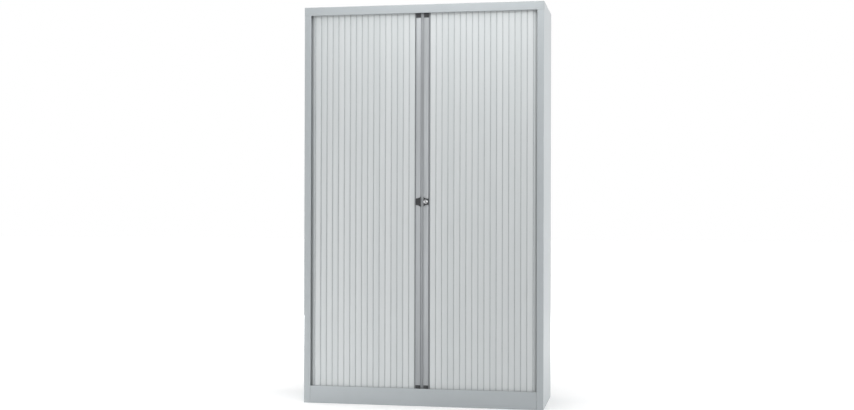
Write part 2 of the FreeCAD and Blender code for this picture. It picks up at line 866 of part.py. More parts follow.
def pull_outline():
    """A plate taller at the meeting edge, with hollowed top and bottom edges."""
    middle = f"({face_start} + {face_end}) / 2"
    tall = "pull_tall / 2"
    waist = "pull_waist / 2"
    sag = "(pull_tall - pull_waist) / 3"
    level = "pull_height"
    return [
        (face_start, f"{level} - {tall}"),
        (face_end, f"{level} - {waist}", middle, f"{level} - ({tall} + {waist}) / 2 + {sag}"),
        (face_end, f"{level} + {waist}"),
        (face_start, f"{level} + {tall}", middle, f"{level} + ({tall} + {waist}) / 2 - {sag}"),
    ]


def pulls():
    """The finger pull on the left bar and the lock plate on the right one."""
    plate = new_body("pull_half")
    pad(plate, "XZ", handle_front, "pull_thickness", pull_outline())
    pocket(plate, "XZ", f"{handle_front} - pull_thickness + pull_dish", "pull_dish + cut_overrun", rectangle(
        f"{face_start} + pull_rim", "pull_height - pull_waist / 2 + pull_rim * 2",
        f"{face_end} - pull_rim", "pull_height + pull_waist / 2 - pull_rim * 2"))
    mirrored(plate, "finger_pull")
    lock = new_body("lock_plate")
    pad(lock, "XZ", handle_front, "pull_thickness", pull_outline())
    pocket(lock, "XZ", f"{handle_front} + cut_overrun", "pull_thickness + 2 * cut_overrun",
           circle("lock_inset", lock_height, "(lock_body_radius + lock_body_clearance)"))
    keep(lock)


plate_front = f"({handle_front} - pull_thickness)"
barrel_end = f"({handle_back} + lock_tail)"
bore = "(plug_radius + plug_clearance)"


def front_turned(label, *loops):
    """A turned piece whose axis runs from the front to the back through the lock."""
    body = new_body(label)
    feature = body.newObject("PartDesign::Revolution", "Revolution")
    feature.Profile = outline(body, "XY", "0", *loops)
    feature.ReferenceAxis = (feature.Profile[0], ["V_Axis"])
    doc.recompute()
    return place(body, "lock_inset", "0", lock_height)


def cam_lock():
    head = f"({plate_front} - lock_head_thickness)"
    barrel = front_turned("lock_barrel", [
        (bore, head), ("lock_head_radius", head), ("lock_head_radius", plate_front),
        ("lock_body_radius", plate_front), ("lock_body_radius", barrel_end), (bore, barrel_end)])
    keep(barrel)
    plug_end = f"({barrel_end} + cam_gap)"
    plug = front_turned("lock_plug", [
        ("0", f"{head} - plug_proud"), ("plug_radius", f"{head} - plug_proud"),
        ("plug_radius", plug_end), ("0", plug_end)])
    pocket(plug, "XZ", f"{head} + keyway_depth", "keyway_depth + plug_proud + cut_overrun", rectangle(
        "-keyway_width / 2", "-keyway_height / 2", "keyway_width / 2", "keyway_height / 2"))
    keep(plug)
    nut = new_body("lock_nut")
    pad(nut, "XZ", f"{handle_back} + nut_thickness", "nut_thickness",
        many_sided("lock_inset", lock_height, "nut_flats_radius", 6))
    pocket(nut, "XZ", f"{handle_back} + nut_thickness + cut_overrun", "nut_thickness + 2 * cut_overrun",
           circle("lock_inset", lock_height, "(lock_body_radius + lock_body_clearance)"))
    keep(nut)
    cam = new_body("lock_cam")
    left = "lock_inset - cam_width / 2"
    right = "lock_inset + cam_width / 2"
    tip = f"{lock_height} + cam_reach"
    nib = f"{left} - cam_nib_length"
    pad(cam, "XZ", f"{plug_end} + cam_thickness", "cam_thickness", [
        (left, f"{lock_height}"), (right, lock_height, "lock_inset", f"{lock_height} - cam_width / 2"),
        (right, f"{tip} - cam_nib_width"), (f"{right} - cam_nib_width", tip),
        (nib, tip), (nib, f"{tip} - cam_nib_width"), (left, f"{tip} - cam_nib_width")])
    keep(cam)
    screw_seat = f"({plug_end} + cam_thickness)"
    screw = front_turned("cam_screw", [
        ("0", screw_seat), ("cam_screw_radius", screw_seat),
        ("cam_screw_radius", f"{screw_seat} + cam_screw_head"), ("0", f"{screw_seat} + cam_screw_head")])
    keep(screw)
    keeper = new_body("lock_keep")
    seat = handle_back
    high = f"{lock_height} - keep_drop"
    low = f"{high} - keep_height"
    reach = f"({plug_end} + cam_thickness + keep_flange)"
    pad(keeper, "XZ", f"{seat} + keep_thickness", "keep_thickness", rectangle(
        "-keep_edge - keep_length", low, "-keep_edge", high))
    pad(keeper, "XZ", reach, f"{reach} - {seat}", rectangle(
        "-keep_edge - keep_thickness", low, "-keep_edge", high))
    keep(keeper)


# Levelling feet

NUT_BORE_SIDES = 12


def feet():
    """Turned feet in square nuts welded under the base."""
    nuts = []
    under = f"({lower_deck} - sheet_gauge)"
    for name, x, y in foot_places():
        foot = new_body(f"foot_{name}")
        turned(foot, [
            ("0", "0"), ("pad_radius", "0"), ("pad_radius", "pad_thickness"),
            ("spindle_radius", "pad_thickness"),
            ("spindle_radius", "spindle_top"), ("0", "spindle_top")])
        place(foot, x, y, "0")
        keep(foot)
        nut = new_body("nut")
        reach = "foot_nut_width / 2"
        low = f"{under} - foot_nut_height"
        pad(nut, "XY", low, "foot_nut_height", rectangle(
            f"{x} - {reach}", f"{y} - {reach}", f"{x} + {reach}", f"{y} + {reach}"))
        pocket(nut, "XY", f"{low} - cut_overrun", "foot_nut_height + 2 * cut_overrun",
               many_sided(x, y, "(spindle_radius + foot_nut_clearance)", NUT_BORE_SIDES))
        nuts.append(nut.Shape.copy())
        doc.removeObject(nut.Name)
    group("foot_nuts", nuts)


side_panel()
top_panel()
plinth()
back_panel()
decks()
rails()
guide_track()
floor_and_ceiling()
liners()
shelves(uprights())
curtains()
handles()
end_cap()
pulls()
cam_lock()
feet()
doc.recompute()

# Every object has to be whole before anything is written.
for item in doc.Objects:
    if "Invalid" in item.State or "Error" in item.State:
        raise RuntimeError(f"{item.Label} failed: {item.State}")
for label, body in bodies.items():
    if body.Shape.isNull() or not body.Shape.isValid() or not body.Shape.Solids:
        raise RuntimeError(f"{label} has no valid solid")

os.makedirs("parts", exist_ok=True)
for label, body in bodies.items():
    body.Shape.exportStep(f"parts/{label}.step")
print(len(bodies), "sub-parts written")
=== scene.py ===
import json
import math
import bmesh
import bpy
from mathutils import Matrix, Vector


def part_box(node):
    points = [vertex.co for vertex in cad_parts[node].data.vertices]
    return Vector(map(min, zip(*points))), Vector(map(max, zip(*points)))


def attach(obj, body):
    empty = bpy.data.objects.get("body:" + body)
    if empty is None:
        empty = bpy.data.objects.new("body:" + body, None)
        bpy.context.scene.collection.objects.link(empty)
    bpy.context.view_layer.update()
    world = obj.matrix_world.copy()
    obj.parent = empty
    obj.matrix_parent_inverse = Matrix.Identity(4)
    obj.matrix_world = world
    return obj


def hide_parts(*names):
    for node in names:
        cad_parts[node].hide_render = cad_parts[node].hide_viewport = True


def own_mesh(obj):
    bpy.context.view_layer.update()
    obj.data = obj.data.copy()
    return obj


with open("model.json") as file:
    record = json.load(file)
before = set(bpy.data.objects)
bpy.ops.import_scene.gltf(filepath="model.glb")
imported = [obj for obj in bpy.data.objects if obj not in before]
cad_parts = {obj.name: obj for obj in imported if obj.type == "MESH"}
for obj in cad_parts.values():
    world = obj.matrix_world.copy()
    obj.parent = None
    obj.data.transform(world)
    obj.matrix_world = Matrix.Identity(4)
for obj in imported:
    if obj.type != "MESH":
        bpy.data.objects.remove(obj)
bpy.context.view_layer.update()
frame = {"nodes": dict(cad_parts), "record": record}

# Dressing of a side-opening roll front cabinet: the steel carcass, the two shutters of
# plastic slats, their aluminium handle bars, the lock and the shelves behind them.
# The frame is in metres, so sizes below are written in millimetres times MM.

MM = 0.001
TINY = 0.01 * MM
NODES = frame["nodes"]

# Folded sheet steel
SHEET = 0.8 * MM
FOLD_RADIUS = 1.6 * MM
FOLD_LENGTH = 200 * MM
BROAD_FACE = 3 * SHEET
# The hollow fascia's height and depth, and how far its end plates sit in from its ends.
FASCIA = (42 * MM, 8 * MM)
END_INSET = 0.3 * MM

# Slotted uprights: the clip slots' width, height and pitch
CLIP_SLOT = (14 * MM, 5 * MM)
SLOT_PITCH = 18.5 * MM

# Slats: the pitch from hinge to hinge, half the thickness, and where the face starts and ends
SLAT_PITCH = 30 * MM
SLAT_HALF = 2.75 * MM
SLAT_FACE = (-1.9 * MM, 24.9 * MM)
SLAT_CROWN = 0.5 * MM
CROWN_STEPS = 6
SLAT_EDGE = 1.4 * MM
EDGE_STEPS = 4
BACK_EDGE = 0.5 * MM
# The hinge lies behind the middle of the slat, so the groove between two faces is deep.
HINGE_BACK = 0.95 * MM
NECK = 0.35 * MM
# The bead's and the socket's radius, and the degrees that each goes round.
BEAD = 0.9 * MM
BEAD_SWEEP = (-157, 157)
SOCKET = 1.25 * MM
SOCKET_SWEEP = (118, -160)
HOOK_WALL = 0.5 * MM
HOOK_STEPS = 8

# The curtain's path, from the handle bar to the corner
HANDLE_OUTSIDE = 38 * MM
FLANGE_TO_HINGE = 3 * MM
CORNER_RADIUS = 42 * MM
# Puts the changes of tone between the slats into the grooves.
TONE_SHIFT = 3.5 * MM
# How far the bar slides.
TRAVEL = 505 * MM

# Glides: length, thickness and reach out of the slat's end
GLIDE = (10 * MM, 3 * MM, 8 * MM)
GLIDE_FORWARD = 2.35 * MM
GLIDE_EDGE = 0.4 * MM

# Handle bars: the proud face from edge to edge, and the groove beside the slats
FACE = (7.5 * MM, 32 * MM)
FACE_ROUND = 2.6 * MM
GROOVE_FLOOR = 6.5 * MM
GROOVE_DEEPER = 3.5 * MM
BAR_WALL = 1.5 * MM
BAR_EDGE = 0.3 * MM
CAP_EDGE = 0.5 * MM
# An edge of a bar that climbs by more than this many metres runs along it.
BAR_LONG = 1

# Finger pull
PULL_TALL = 48 * MM
PULL_WAIST = 33 * MM
PULL_SWEEP = 2.2
PULL_STEPS = 8
PULL_THICK = 4 * MM
PULL_RIM = 3 * MM
PULL_EDGE = 0.6 * MM
PULL_DISH = 2.2 * MM
DISH_SLOPE = 0.8 * MM
RIB_PITCH = 6 * MM
RIB_INSET = 6 * MM
RIB_HALF = 0.8 * MM
RIB_ROOT = 0.5 * MM
RIB_EDGE = 0.4 * MM

# Lock plate and lock
PLATE_EDGE = 0.6 * MM
PLUG_EDGE = 0.2 * MM
LOCK_AT = Vector((17.5 * MM, 0, 1007 * MM))
PLUG_BORE = 6.05 * MM
BARREL = 8 * MM
LOCK_SIDES = 64
LOCK_MERGE = 0.005 * MM
# The collar's face from the plug's bore out to the rim: radius, and depth behind the front.
COLLAR = (
    (PLUG_BORE, 0.5 * MM), (PLUG_BORE + 0.3 * MM, 0.2 * MM), (7.2 * MM, 0.45 * MM),
    (8.4 * MM, 0.35 * MM), (9.3 * MM, 0), (10.2 * MM, 0.12 * MM), (10.8 * MM, 0.6 * MM),
    (11 * MM, 1.2 * MM), (11 * MM, 2 * MM), (BARREL, 2 * MM))


# Nodes of materials

def linear(code):
    """The linear colour of an sRGB hex code."""
    channels = [int(code[i:i + 2], 16) / 255 for i in (1, 3, 5)]
    return [c / 12.92 if c <= 0.04045 else ((c + 0.055) / 1.055) ** 2.4 for c in channels] + [1.0]


def node(material, kind, inputs=None, **settings):
    """Adds a node. An input is a plain value, or another node's output to link from."""
    made = material.node_tree.nodes.new("ShaderNode" + kind)
    for name, setting in settings.items():
        setattr(made, name, setting)
    for name, source in (inputs or {}).items():
        if isinstance(source, bpy.types.NodeSocket):
            material.node_tree.links.new(source, made.inputs[name])
        else:
            made.inputs[name].default_value = source
    return made


def new_material(name, **surface):
    """A material and its shader, with the plain values of the finish set on the shader."""
    material = bpy.data.materials.new(name)
    material.use_nodes = True
    shader = material.node_tree.nodes["Principled BSDF"]
    for socket, setting in surface.items():
        shader.inputs[socket.replace("_", " ")].default_value = setting
    return material, shader


def place_of(material, scale=(1, 1, 1)):
    """Object coordinates, stretched for a pattern that runs along one direction."""
    spot = node(material, "TexCoord").outputs["Object"]
    return node(material, "Mapping", {"Vector": spot, "Scale": scale}).outputs["Vector"]


def noise(material, place, size, detail=2, roughness=0.5):
    """A noise whose lumps are about the given size across."""
    return node(material, "TexNoise", {
        "Vector": place, "Scale": 1 / size, "Detail": detail, "Roughness": roughness}).outputs["Fac"]


def spread(material, source, low, high, start=0.3, stop=0.7):
    """Maps the middle of a pattern's range to the numbers from low to high."""
    return node(material, "MapRange", {
        "Value": source, "From Min": start, "From Max": stop, "To Min": low, "To Max": high,
    }).outputs["Result"]


def blend_colours(material, share, first, second):
    """The colour between two, at a share that a pattern gives."""
    mix = node(material, "Mix", data_type="RGBA")
    mix.inputs[6].default_value = linear(first)
    mix.inputs[7].default_value = linear(second)
    material.node_tree.links.new(share, mix.inputs[0])
    return mix.outputs[2]


def relief(material, height, depth, below=None):
    """A bump of the given real depth, laid over another one if there is one."""
    inputs = {"Height": height, "Distance": depth, "Strength": 1.0}
    if below:
        inputs["Normal"] = below
    return node(material, "Bump", inputs).outputs["Normal"]


def connect(material, shader, **sources):
    """Links patterns to the sockets of the shader that they drive."""
    for socket, source in sources.items():
        material.node_tree.links.new(source, shader.inputs[socket.replace("_", " ")])
    return material


# Finishes

def powder_coat(name, light, dark, gloss=0.42):
    """Polyester powder coat on sheet steel: satin, with a fine orange peel, over sheet that
    is never quite flat, so broad reflections waver."""
    material, shader = new_material(
        name, Roughness=gloss, IOR=1.5, Coat_Weight=0.12, Coat_Roughness=0.3)
    place = place_of(material)
    peel = noise(material, place, 1.6 * MM, detail=3)
    sheet = noise(material, place, 260 * MM, detail=1)
    tone = spread(material, noise(material, place, 90 * MM, detail=4, roughness=0.65), 0, 1)
    waver = relief(material, sheet, 1.2 * MM)
    return connect(
        material, shader,
        Base_Color=blend_colours(material, tone, light, dark),
        Roughness=spread(material, peel, gloss - 0.05, gloss + 0.06),
        Normal=relief(material, peel, 0.05 * MM, waver))


def slat_number(material, spot):
    """Counts the slats out from the middle, with other numbers on the right-hand curtain."""
    across = node(material, "SeparateXYZ", {"Vector": spot}).outputs["X"]
    out = node(material, "Math", {0: across}, operation="ABSOLUTE").outputs["Value"]
    start = (TONE_SHIFT - HANDLE_OUTSIDE - FLANGE_TO_HINGE) / SLAT_PITCH
    count = node(material, "Math", {0: out, 1: 1 / SLAT_PITCH, 2: start}, operation="MULTIPLY_ADD")
    whole = node(material, "Math", {0: count.outputs["Value"]}, operation="FLOOR").outputs["Value"]
    right = node(material, "Math", {0: across, 1: 0.0}, operation="GREATER_THAN").outputs["Value"]
    both = {0: right, 1: 40.0, 2: whole}
    return node(material, "Math", both, operation="MULTIPLY_ADD").outputs["Value"]


def extruded_slat(name, light, dark):
    """Extruded rigid PVC in silver grey: satin, with the die's fine lines along its length
    and a slight change of tone from one slat to the next. The real lines are a few tenths of
    a millimetre apart, and are drawn coarser here so that they show from near."""
    material, shader = new_material(
        name, Roughness=0.36, IOR=1.53, Coat_Weight=0.2, Coat_Roughness=0.25)
    spot = node(material, "TexCoord").outputs["Object"]
    number = {"W": slat_number(material, spot)}
    batch = node(material, "TexWhiteNoise", number, noise_dimensions="1D").outputs["Value"]
    lines = noise(material, place_of(material, (1, 1, 0.004)), 0.9 * MM, detail=3)
    cloud = noise(material, place_of(material, (1, 1, 0.15)), 24 * MM, detail=2)
    both = node(material, "Math", {0: batch, 1: cloud}, operation="ADD").outputs["Value"]
    return connect(
        material, shader,
        Base_Color=blend_colours(material, spread(material, both, 0, 1, 0.3, 1.7), light, dark),
        Roughness=spread(material, lines, 0.3, 0.44),
        Normal=relief(material, lines, 0.05 * MM))


def anodised_aluminium(name, light, dark):
    """Natural anodised aluminium, extruded: a dull metal sheen with draw lines along it. They
    are drawn coarser than the real ones, so that they show from near."""
    material, shader = new_material(name, Metallic=0.7, Roughness=0.5)
    lines = noise(material, place_of(material, (1, 1, 0.006)), 0.7 * MM, detail=4, roughness=0.6)
    return connect(
        material, shader,
        Base_Color=blend_colours(material, spread(material, lines, 0, 1), light, dark),
        Roughness=spread(material, lines, 0.44, 0.56),
        Normal=relief(material, lines, 0.03 * MM))


def moulded_plastic(name, light, dark, grain=0.7 * MM, gloss=0.45):
    """Injection-moulded plastic with a spark-eroded grain, drawn coarser than the real one,
    which is a tenth of a millimetre or so."""
    material, shader = new_material(name, Roughness=gloss, IOR=1.5)
    place = place_of(material)
    pits = noise(material, place, grain, detail=2)
    tone = noise(material, place, 14 * MM, detail=3)
    return connect(
        material, shader,
        Base_Color=blend_colours(material, spread(material, tone, 0, 1), light, dark),
        Roughness=spread(material, pits, gloss - 0.06, gloss + 0.1),
        Normal=relief(material, pits, 0.06 * MM))


def zinc_plate(name, light, dark):
    """Zinc-plated steel: a bright, slightly cloudy grey metal with faint spangles."""
    material, shader = new_material(name, Metallic=0.9, Roughness=0.38)
    place = place_of(material)
    spangle = node(material, "TexVoronoi", {"Vector": place, "Scale": 1 / (9 * MM)}).outputs["Color"]
    cloud = noise(material, place, 5 * MM, detail=3)
    grey = node(material, "RGBToBW", {"Color": spangle}).outputs["Val"]
    return connect(
        material, shader,
        Base_Color=blend_colours(material, spread(material, grey, 0, 1, 0.1, 0.9), light, dark),
        Roughness=spread(material, cloud, 0.3, 0.46))


def satin_nickel(name, light, dark):
    """Nickel-plated die-cast zinc: a soft bright metal, slightly hazy from handling."""
    material, shader = new_material(name, Metallic=1.0, Roughness=0.24)
    place = place_of(material)
    hazy = noise(material, place, 3 * MM, detail=3)
    return connect(
        material, shader,
        Base_Color=blend_colours(material, spread(material, hazy, 0, 1), light, dark),
        Roughness=spread(material, hazy, 0.18, 0.3))


FINISHES = {
    "carcass_paint": powder_coat("powder_coated_steel", "#B2B8BB", "#AFB5B8"),
    "inner_paint": powder_coat("powder_coated_inner_steel", "#C2C7C8", "#BDC2C3", gloss=0.5),
    "shelf_paint": powder_coat("powder_coated_shelf_steel", "#C4C9CA", "#BFC4C5", gloss=0.46),
    "slat_plastic": extruded_slat("extruded_silver_pvc", "#D3D7D8", "#CBD0D1"),
    "track_plastic": moulded_plastic("moulded_grey_abs", "#777D80", "#6F7578"),
    "glide_nylon": moulded_plastic("moulded_white_nylon", "#D8D7D0", "#CFCEC6", gloss=0.5),
    "handle_aluminium": anodised_aluminium("anodised_aluminium", "#A0A3A5", "#96999C"),
    "black_plastic": moulded_plastic("moulded_black_abs", "#1C1F22", "#171A1D", gloss=0.42),
    "lock_chrome": satin_nickel("satin_nickel_plate", "#A2A3A4", "#949697"),
    "zinc_steel": zinc_plate("zinc_plated_steel", "#B9BCBE", "#A6AAAD"),
    "foot_black": moulded_plastic("moulded_black_polyamide", "#26282A", "#1F2123", gloss=0.55),
}
# The slats' hooks and beads are the same PVC in a darker grey. This is painted shade, standing in
# for the shadow deep in the grooves between the slats.
HOOK_SHADE_FINISH = moulded_plastic("pvc_hooks_painted_shade", "#BBBFC1", "#B1B5B8", gloss=0.5)


# Pieces

def finish_piece(name, mesh, slot, body, *replaced, smooth_angle=30):
    """Makes the piece from its mesh, gives it its finish and lets it ride on its body."""
    bmesh.ops.recalc_face_normals(mesh, faces=mesh.faces)
    data = bpy.data.meshes.new(name)
    mesh.to_mesh(data)
    mesh.free()
    data.shade_smooth()
    data.set_sharp_from_angle(angle=math.radians(smooth_angle))
    piece = bpy.data.objects.new(name, data)
    bpy.context.scene.collection.objects.link(piece)
    data.materials.append(FINISHES[slot])
    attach(piece, body)
    if replaced:
        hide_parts(*replaced)
    return piece


def add_prism(mesh, outline, run):
    """Adds a solid with the outline, a list of points on one plane, as its section."""
    ends = [mesh.verts.new(spot) for spot in outline]
    face = mesh.faces.new(ends)
    grown = bmesh.ops.extrude_face_region(mesh, geom=[face], use_keep_orig=True)["geom"]
    far = [item for item in grown if isinstance(item, bmesh.types.BMVert)]
    bmesh.ops.translate(mesh, verts=far, vec=run)
    return ends + far


def round_edges(mesh, edges, width, segments=2):
    """Rounds edges off, over the width on both of an edge's faces."""
    bmesh.ops.bevel(mesh, geom=list(edges), offset=width, offset_type="OFFSET", segments=segments,
                    affect="EDGES", profile=0.5, material=-1, clamp_overlap=True)


def edges_at(mesh, depth):
    """Edges that lie on the plane at the depth along Y."""
    edges = []
    for edge in mesh.edges:
        if all(abs(vert.co.y - depth) < TINY for vert in edge.verts):
            edges.append(edge)
    return edges


def sharp_edges(mesh, degrees=25):
    """Edges where the surface turns by more than the angle."""
    limit = math.radians(degrees)
    return [edge for edge in mesh.edges if edge.is_manifold and edge.calc_face_angle(0) > limit]


def add_box(mesh, low, high, width=0.0):
    """Adds a box from corner to corner, with its edges rounded by the width."""
    low, high = Vector(low), Vector(high)
    size = high - low
    made = bmesh.ops.create_cube(mesh, size=1)["verts"]
    bmesh.ops.scale(mesh, verts=made, vec=size)
    bmesh.ops.translate(mesh, verts=made, vec=(low + high) / 2)
    if width:
        edges = {edge for vert in made for edge in vert.link_edges}
        round_edges(mesh, edges, width)


def merged_copy(node_name):
    """A CAD node's shape as whole faces, for a piece that refines it."""
    mesh = bmesh.new()
    mesh.from_mesh(NODES[node_name].data)
    bmesh.ops.remove_doubles(mesh, verts=mesh.verts, dist=TINY)
    bmesh.ops.dissolve_limit(mesh, angle_limit=math.radians(1), verts=mesh.verts, edges=mesh.edges)
    return mesh


def softened(node_name, slot, body, width):
    """A CAD node's shape with its corners slightly rounded, as moulding leaves them."""
    mesh = merged_copy(node_name)
    round_edges(mesh, sharp_edges(mesh), width)
    finish_piece(node_name + "_finished", mesh, slot, body, node_name)


def folded_sheet(node_name, slot):
    """A part of folded sheet steel, with the round corners that a press brake leaves. A fold
    lies between two broad faces, and a cut edge beside a face of the sheet's thickness."""
    mesh = merged_copy(node_name)
    for convex, radius in ((True, FOLD_RADIUS), (False, FOLD_RADIUS - SHEET)):
        folds = []
        for edge in sharp_edges(mesh, 60):
            length = edge.calc_length()
            broad = min(face.calc_area() for face in edge.link_faces) > BROAD_FACE * length
            if edge.is_convex == convex and broad and length > FOLD_LENGTH:
                folds.append(edge)
        round_edges(mesh, folds, radius, segments=3)
    finish_piece("folded_" + node_name, mesh, slot, "carcass", node_name)


def fascia_ends():
    """The small plates that close the hollow fascia at its two ends."""
    low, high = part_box("top_panel")
    height, depth = FASCIA
    mesh = bmesh.new()
    for hand in (-1, 1):
        outer, inner = hand * (high.x - END_INSET), hand * (high.x - END_INSET - SHEET)
        add_box(mesh, (min(outer, inner), low.y + SHEET, high.z - height + SHEET),
                (max(outer, inner), low.y + depth, high.z - SHEET))
    finish_piece("fascia_end_plates", mesh, "carcass_paint", "carcass")


def handle_bar(side):
    """The extruded bar, with its proud face rounded off and a deep groove beside the slats."""
    mesh = merged_copy(f"{side}_handle_bar")
    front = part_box(f"{side}_handle_bar")[0].y
    floor = front + GROOVE_FLOOR
    for vert in mesh.verts:
        across = abs(vert.co.x)
        outside = across > FACE[1] - BAR_WALL - TINY
        if outside and floor - TINY < vert.co.y < floor + BAR_WALL + TINY:
            vert.co.y += GROOVE_DEEPER
        elif across > HANDLE_OUTSIDE - TINY and abs(vert.co.y - floor) < FLANGE_TO_HINGE:
            vert.co.y += HINGE_BACK
    corners = []
    for edge in sharp_edges(mesh):
        upright = abs(edge.verts[0].co.z - edge.verts[1].co.z) > BAR_LONG
        if upright and all(abs(vert.co.y - front) < TINY for vert in edge.verts):
            corners.append(edge)
    round_edges(mesh, corners, FACE_ROUND, segments=5)
    round_edges(mesh, sharp_edges(mesh, 40), BAR_EDGE)
    finish_piece(f"extruded_{side}_handle_bar", mesh, "handle_aluminium", f"{side}_shutter",
                 f"{side}_handle_bar")


# Curtains of slats

def arc(centre, radius, start, stop, steps):
    """Points (x, y) along an arc, from the start angle to the stop angle in degrees."""
    points = []
    for step in range(steps + 1):
        turn = math.radians(start + (stop - start) * step / steps)
        points.append((centre[0] + radius * math.cos(turn), centre[1] + radius * math.sin(turn)))
    return points


def slat_outline():
    """A slat's section seen from above: hinge at the origin, next hinge along X, front at -Y."""
    low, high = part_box("right_slats")
    start, end = SLAT_FACE
    crown = -SLAT_HALF - HINGE_BACK
    brow = crown + SLAT_CROWN
    back = SLAT_HALF - HINGE_BACK
    points = arc((start + SLAT_EDGE, brow + SLAT_EDGE), SLAT_EDGE, 180, 270, EDGE_STEPS)
    for step in range(1, CROWN_STEPS):
        share = step / CROWN_STEPS
        across = start + SLAT_EDGE + (end - start - 2 * SLAT_EDGE) * share
        points.append((across, crown + SLAT_CROWN * (2 * share - 1) ** 2))
    points += arc((end - SLAT_EDGE, brow + SLAT_EDGE), SLAT_EDGE, 270, 360, EDGE_STEPS)
    points += [(end, -NECK)]
    points += arc((SLAT_PITCH, 0), BEAD, *BEAD_SWEEP, HOOK_STEPS)
    points += [(end, NECK), (end, back - BACK_EDGE), (end - BACK_EDGE, back), (0, back)]
    hook = arc((0, 0), SOCKET + HOOK_WALL, *SOCKET_SWEEP, 1)
    points += hook[:1] + arc((0, 0), SOCKET, *SOCKET_SWEEP, HOOK_STEPS) + hook[1:]
    return [Vector((x, y, low.z)) for x, y in points], Vector((0, 0, high.z - low.z))


def slat_places():
    """Where each slat of the right-hand curtain goes: along the front, then round the corner."""
    low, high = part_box("right_slats")
    path_front = low.y + SLAT_HALF + HINGE_BACK
    side = high.x - SLAT_HALF - HINGE_BACK
    radius = CORNER_RADIUS - HINGE_BACK
    corner = Vector((side - radius, path_front + radius, 0))
    hinges = [Vector((HANDLE_OUTSIDE + FLANGE_TO_HINGE, path_front, 0))]
    while hinges[-1].x + SLAT_PITCH <= corner.x:
        hinges.append(hinges[-1] + Vector((SLAT_PITCH, 0, 0)))
    reach = hinges[-1] - corner
    across = radius ** 2 + reach.length_squared - SLAT_PITCH ** 2
    swing = math.acos(across / (2 * radius * reach.length))
    angle = math.atan2(reach.y, reach.x) + swing
    while angle <= 0:
        hinges.append(corner + Vector((math.cos(angle), math.sin(angle), 0)) * radius)
        angle += 2 * math.asin(SLAT_PITCH / (2 * radius))
    run = side - hinges[-1].x
    hinges.append(Vector((side, hinges[-1].y + math.sqrt(SLAT_PITCH ** 2 - run ** 2), 0)))
    hinges.append(hinges[-1] + Vector((0, SLAT_PITCH, 0)))
    places = []
    for here, there in zip(hinges, hinges[1:]):
        turn = Matrix.Rotation(math.atan2(there.y - here.y, there.x - here.x), 4, "Z")
        places.append(Matrix.Translation(here) @ turn)
    return places


def add_slat(mesh, outline, run, place):
    """Adds one slat, its hook and bead in the second finish, whose darker grey is painted groove
    shade.
    """
    made = add_prism(mesh, outline, run)
    for face in {face for vert in made for face in vert.link_faces}:
        across = face.calc_center_median().x
        if abs(face.normal.z) < 0.5 and not SLAT_FACE[0] < across < SLAT_FACE[1]:
            # The hook, bead and neck faces get the darker finish, painted shade for the grooves.
            face.material_index = 1
    bmesh.ops.transform(mesh, matrix=place, verts=made)


def add_glide(mesh, level, place):
    """Adds the glide that stands out of one end of a slat, upwards from the level."""
    length, thick, reach = GLIDE
    before = set(mesh.verts)
    middle = SLAT_PITCH / 2
    add_box(mesh, (middle - length / 2, -GLIDE_FORWARD - thick / 2, level),
            (middle + length / 2, -GLIDE_FORWARD + thick / 2, level + reach), GLIDE_EDGE)
    bmesh.ops.transform(mesh, matrix=place, verts=list(set(mesh.verts) - before))


def slat_row(name, hand, places, body, *replaced):
    """A row of slats as one piece, and the glides on their ends as another."""
    outline, run = slat_outline()
    slats, glides = bmesh.new(), bmesh.new()
    floor = outline[0].z
    for place in places:
        add_slat(slats, outline, run, place)
        add_glide(glides, floor - GLIDE[2], place)
        add_glide(glides, floor + run.z, place)
    for mesh in (slats, glides):
        bmesh.ops.scale(mesh, verts=mesh.verts, vec=(hand, 1, 1))
    row = finish_piece(name + "_slats", slats, "slat_plastic", body, *replaced[:1])
    # The second finish paints the grooves' shade onto the hooks and beads.
    row.data.materials.append(HOOK_SHADE_FINISH)
    return row, finish_piece(name + "_glides", glides, "glide_nylon", body, *replaced[1:])


def curtain(side, hand):
    """One curtain. Its front row rides on the shutter, with a mesh of its own. The corner holds
    slats at every place of the bar, so the ones there stay, and stand for those that pass through."""
    root = HANDLE_OUTSIDE + FLANGE_TO_HINGE
    places = slat_places()
    front = [place for place in places if place.translation.x < root + TRAVEL]
    corner = places[len(front):]
    row = slat_row(f"{side}_front", hand, front, f"{side}_shutter",
                   f"{side}_slats", f"{side}_slat_glides")
    for piece in row:
        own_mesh(piece)
    slat_row(f"{side}_corner", hand, corner, "carcass")


# Finger pull, lock plate and lock

def plate_outline(hand, level, depth):
    """A plate that is taller at the meeting edge, with hollowed top and bottom edges."""
    points = []
    for upper in (1, -1):
        edge = []
        for step in range(PULL_STEPS + 1):
            share = step / PULL_STEPS
            across = FACE[0] + (FACE[1] - FACE[0]) * share
            tall = PULL_TALL / 2 + (PULL_WAIST - PULL_TALL) / 2 * (1 - (1 - share) ** PULL_SWEEP)
            edge.append(Vector((hand * across, depth, level + upper * tall)))
        points += edge if upper > 0 else edge[::-1]
    return points


def finger_pull():
    """Black moulded pull with a dished middle and three ribs for the finger."""
    low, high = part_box("finger_pull")
    mesh = bmesh.new()
    add_prism(mesh, plate_outline(-1, LOCK_AT.z, high.y), Vector((0, -PULL_THICK, 0)))
    face = min(mesh.faces, key=lambda item: item.calc_center_median().y)
    bmesh.ops.inset_region(mesh, faces=[face], thickness=PULL_RIM, depth=0)
    bmesh.ops.inset_region(mesh, faces=[face], thickness=DISH_SLOPE, depth=-PULL_DISH)
    round_edges(mesh, [edge for edge in edges_at(mesh, low.y) if edge.is_manifold], PULL_EDGE)
    for step in (-1, 0, 1):
        level = LOCK_AT.z + step * RIB_PITCH
        add_box(mesh, (-FACE[1] + RIB_INSET, low.y + RIB_HALF, level - RIB_HALF),
                (-FACE[0] - RIB_INSET, low.y + PULL_DISH + RIB_ROOT, level + RIB_HALF), RIB_EDGE)
    finish_piece("moulded_finger_pull", mesh, "black_plastic", "left_shutter", "finger_pull")


